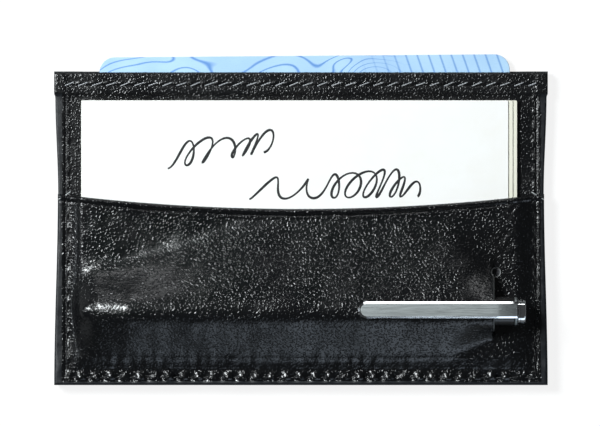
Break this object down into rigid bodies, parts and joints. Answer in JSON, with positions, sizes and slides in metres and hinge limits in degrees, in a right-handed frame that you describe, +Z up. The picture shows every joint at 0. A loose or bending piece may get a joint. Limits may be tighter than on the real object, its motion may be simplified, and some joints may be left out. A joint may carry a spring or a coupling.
{
  "type": "pocket note-card case with twist pen",
  "caption": "Flat leather note-card case: writing panel, curved front pocket moulded over a twist pen, back pocket with a plastic card.",
  "frame": {"origin": "middle of the flat back that the case lies on, half way between its sides and between its top and bottom edges", "axes": "+X to the right seen from the front, +Y towards the open top, +Z up out of the front, away from the surface it lies on"},
  "size_m": [0.103, 0.069, 0.0138],
  "materials": {
    "cover_leather": "fine-grained black leather, semi-gloss",
    "lining_cloth": "thin woven black lining",
    "grey_board": "pressed grey board",
    "seam_thread": "waxed black thread",
    "note_paper": "uncoated white card stock",
    "card_plastic": "printed pale blue plastic",
    "black_lacquer": "gloss black lacquer",
    "pen_chrome": "polished chrome",
    "clip_steel": "satin steel with polished edges",
    "works_brass": "turned brass",
    "refill_plastic": "matt dark plastic"
  },
  "bodies": {
    "case": {"back_cover": "cover_leather", "back_lining": "lining_cloth", "panel_lining": "lining_cloth", "pen_guard": "lining_cloth", "stiffener_board": "grey_board", "middle_panel": "cover_leather", "front_pocket": "cover_leather", "seam_thread_front": "seam_thread", "seam_thread_back": "seam_thread", "hem_thread_front": "seam_thread", "hem_thread_back": "seam_thread"},
    "note_1": {"note_card_1": "note_paper"},
    "note_2": {"note_card_2": "note_paper"},
    "note_3": {"note_card_3": "note_paper"},
    "note_4": {"note_card_4": "note_paper"},
    "note_5": {"note_card_5": "note_paper"},
    "back_card": {"plastic_card": "card_plastic"},
    "pen": {"pen_upper_barrel": "black_lacquer", "pen_barrel_plug": "works_brass", "pen_clip_collar": "clip_steel", "pen_end_cap": "pen_chrome", "pen_cam_tube": "works_brass", "pen_bush": "works_brass"},
    "clip": {"pen_clip": "clip_steel"},
    "pen_lower": {"pen_lower_barrel": "black_lacquer", "pen_nose_cone": "pen_chrome", "pen_centre_ring": "pen_chrome", "pen_guide_tube": "works_brass"},
    "refill": {"refill_tube": "refill_plastic", "refill_point": "works_brass", "refill_ball": "clip_steel", "refill_carrier": "works_brass", "drive_pin": "clip_steel"}
  },
  "joints": [
    {"name": "note_1_slide", "type": "slide", "parent": "case", "child": "note_1", "axis": [0, 1, 0], "range_m": [0, 0.045]},
    {"name": "note_2_slide", "type": "slide", "parent": "case", "child": "note_2", "axis": [0, 1, 0], "range_m": [0, 0.045]},
    {"name": "note_3_slide", "type": "slide", "parent": "case", "child": "note_3", "axis": [0, 1, 0], "range_m": [0, 0.045]},
    {"name": "note_4_slide", "type": "slide", "parent": "case", "child": "note_4", "axis": [0, 1, 0], "range_m": [0, 0.045]},
    {"name": "note_5_slide", "type": "slide", "parent": "case", "child": "note_5", "axis": [0, 1, 0], "range_m": [0, 0.045]},
    {"name": "back_card_slide", "type": "slide", "parent": "case", "child": "back_card", "axis": [0, 1, 0], "range_m": [-0.0075, 0.055]},
    {"name": "pen_slide", "type": "slide", "parent": "case", "child": "pen", "axis": [1, 0, 0], "range_m": [0, 0.095]},
    {"name": "clip_lift", "type": "hinge", "parent": "pen", "child": "clip", "pos_m": [0.04455, -0.0171, 0.01245], "axis": [0, 1, 0], "range_deg": [0, 4], "stiffness_Nm_per_rad": 1.5},
    {"name": "pen_twist", "type": "hinge", "parent": "pen", "child": "pen_lower", "pos_m": [0.004, -0.0171, 0.00905], "axis": [1, 0, 0], "range_deg": [0, 180]},
    {"name": "refill_extend", "type": "slide", "parent": "pen_lower", "child": "refill", "axis": [-1, 0, 0], "range_m": [0, 0.0022]}
  ],
  "couplings": [
    {"joint": "pen_twist", "follows": "refill_extend", "rad_per_m": 1428}
  ]
}
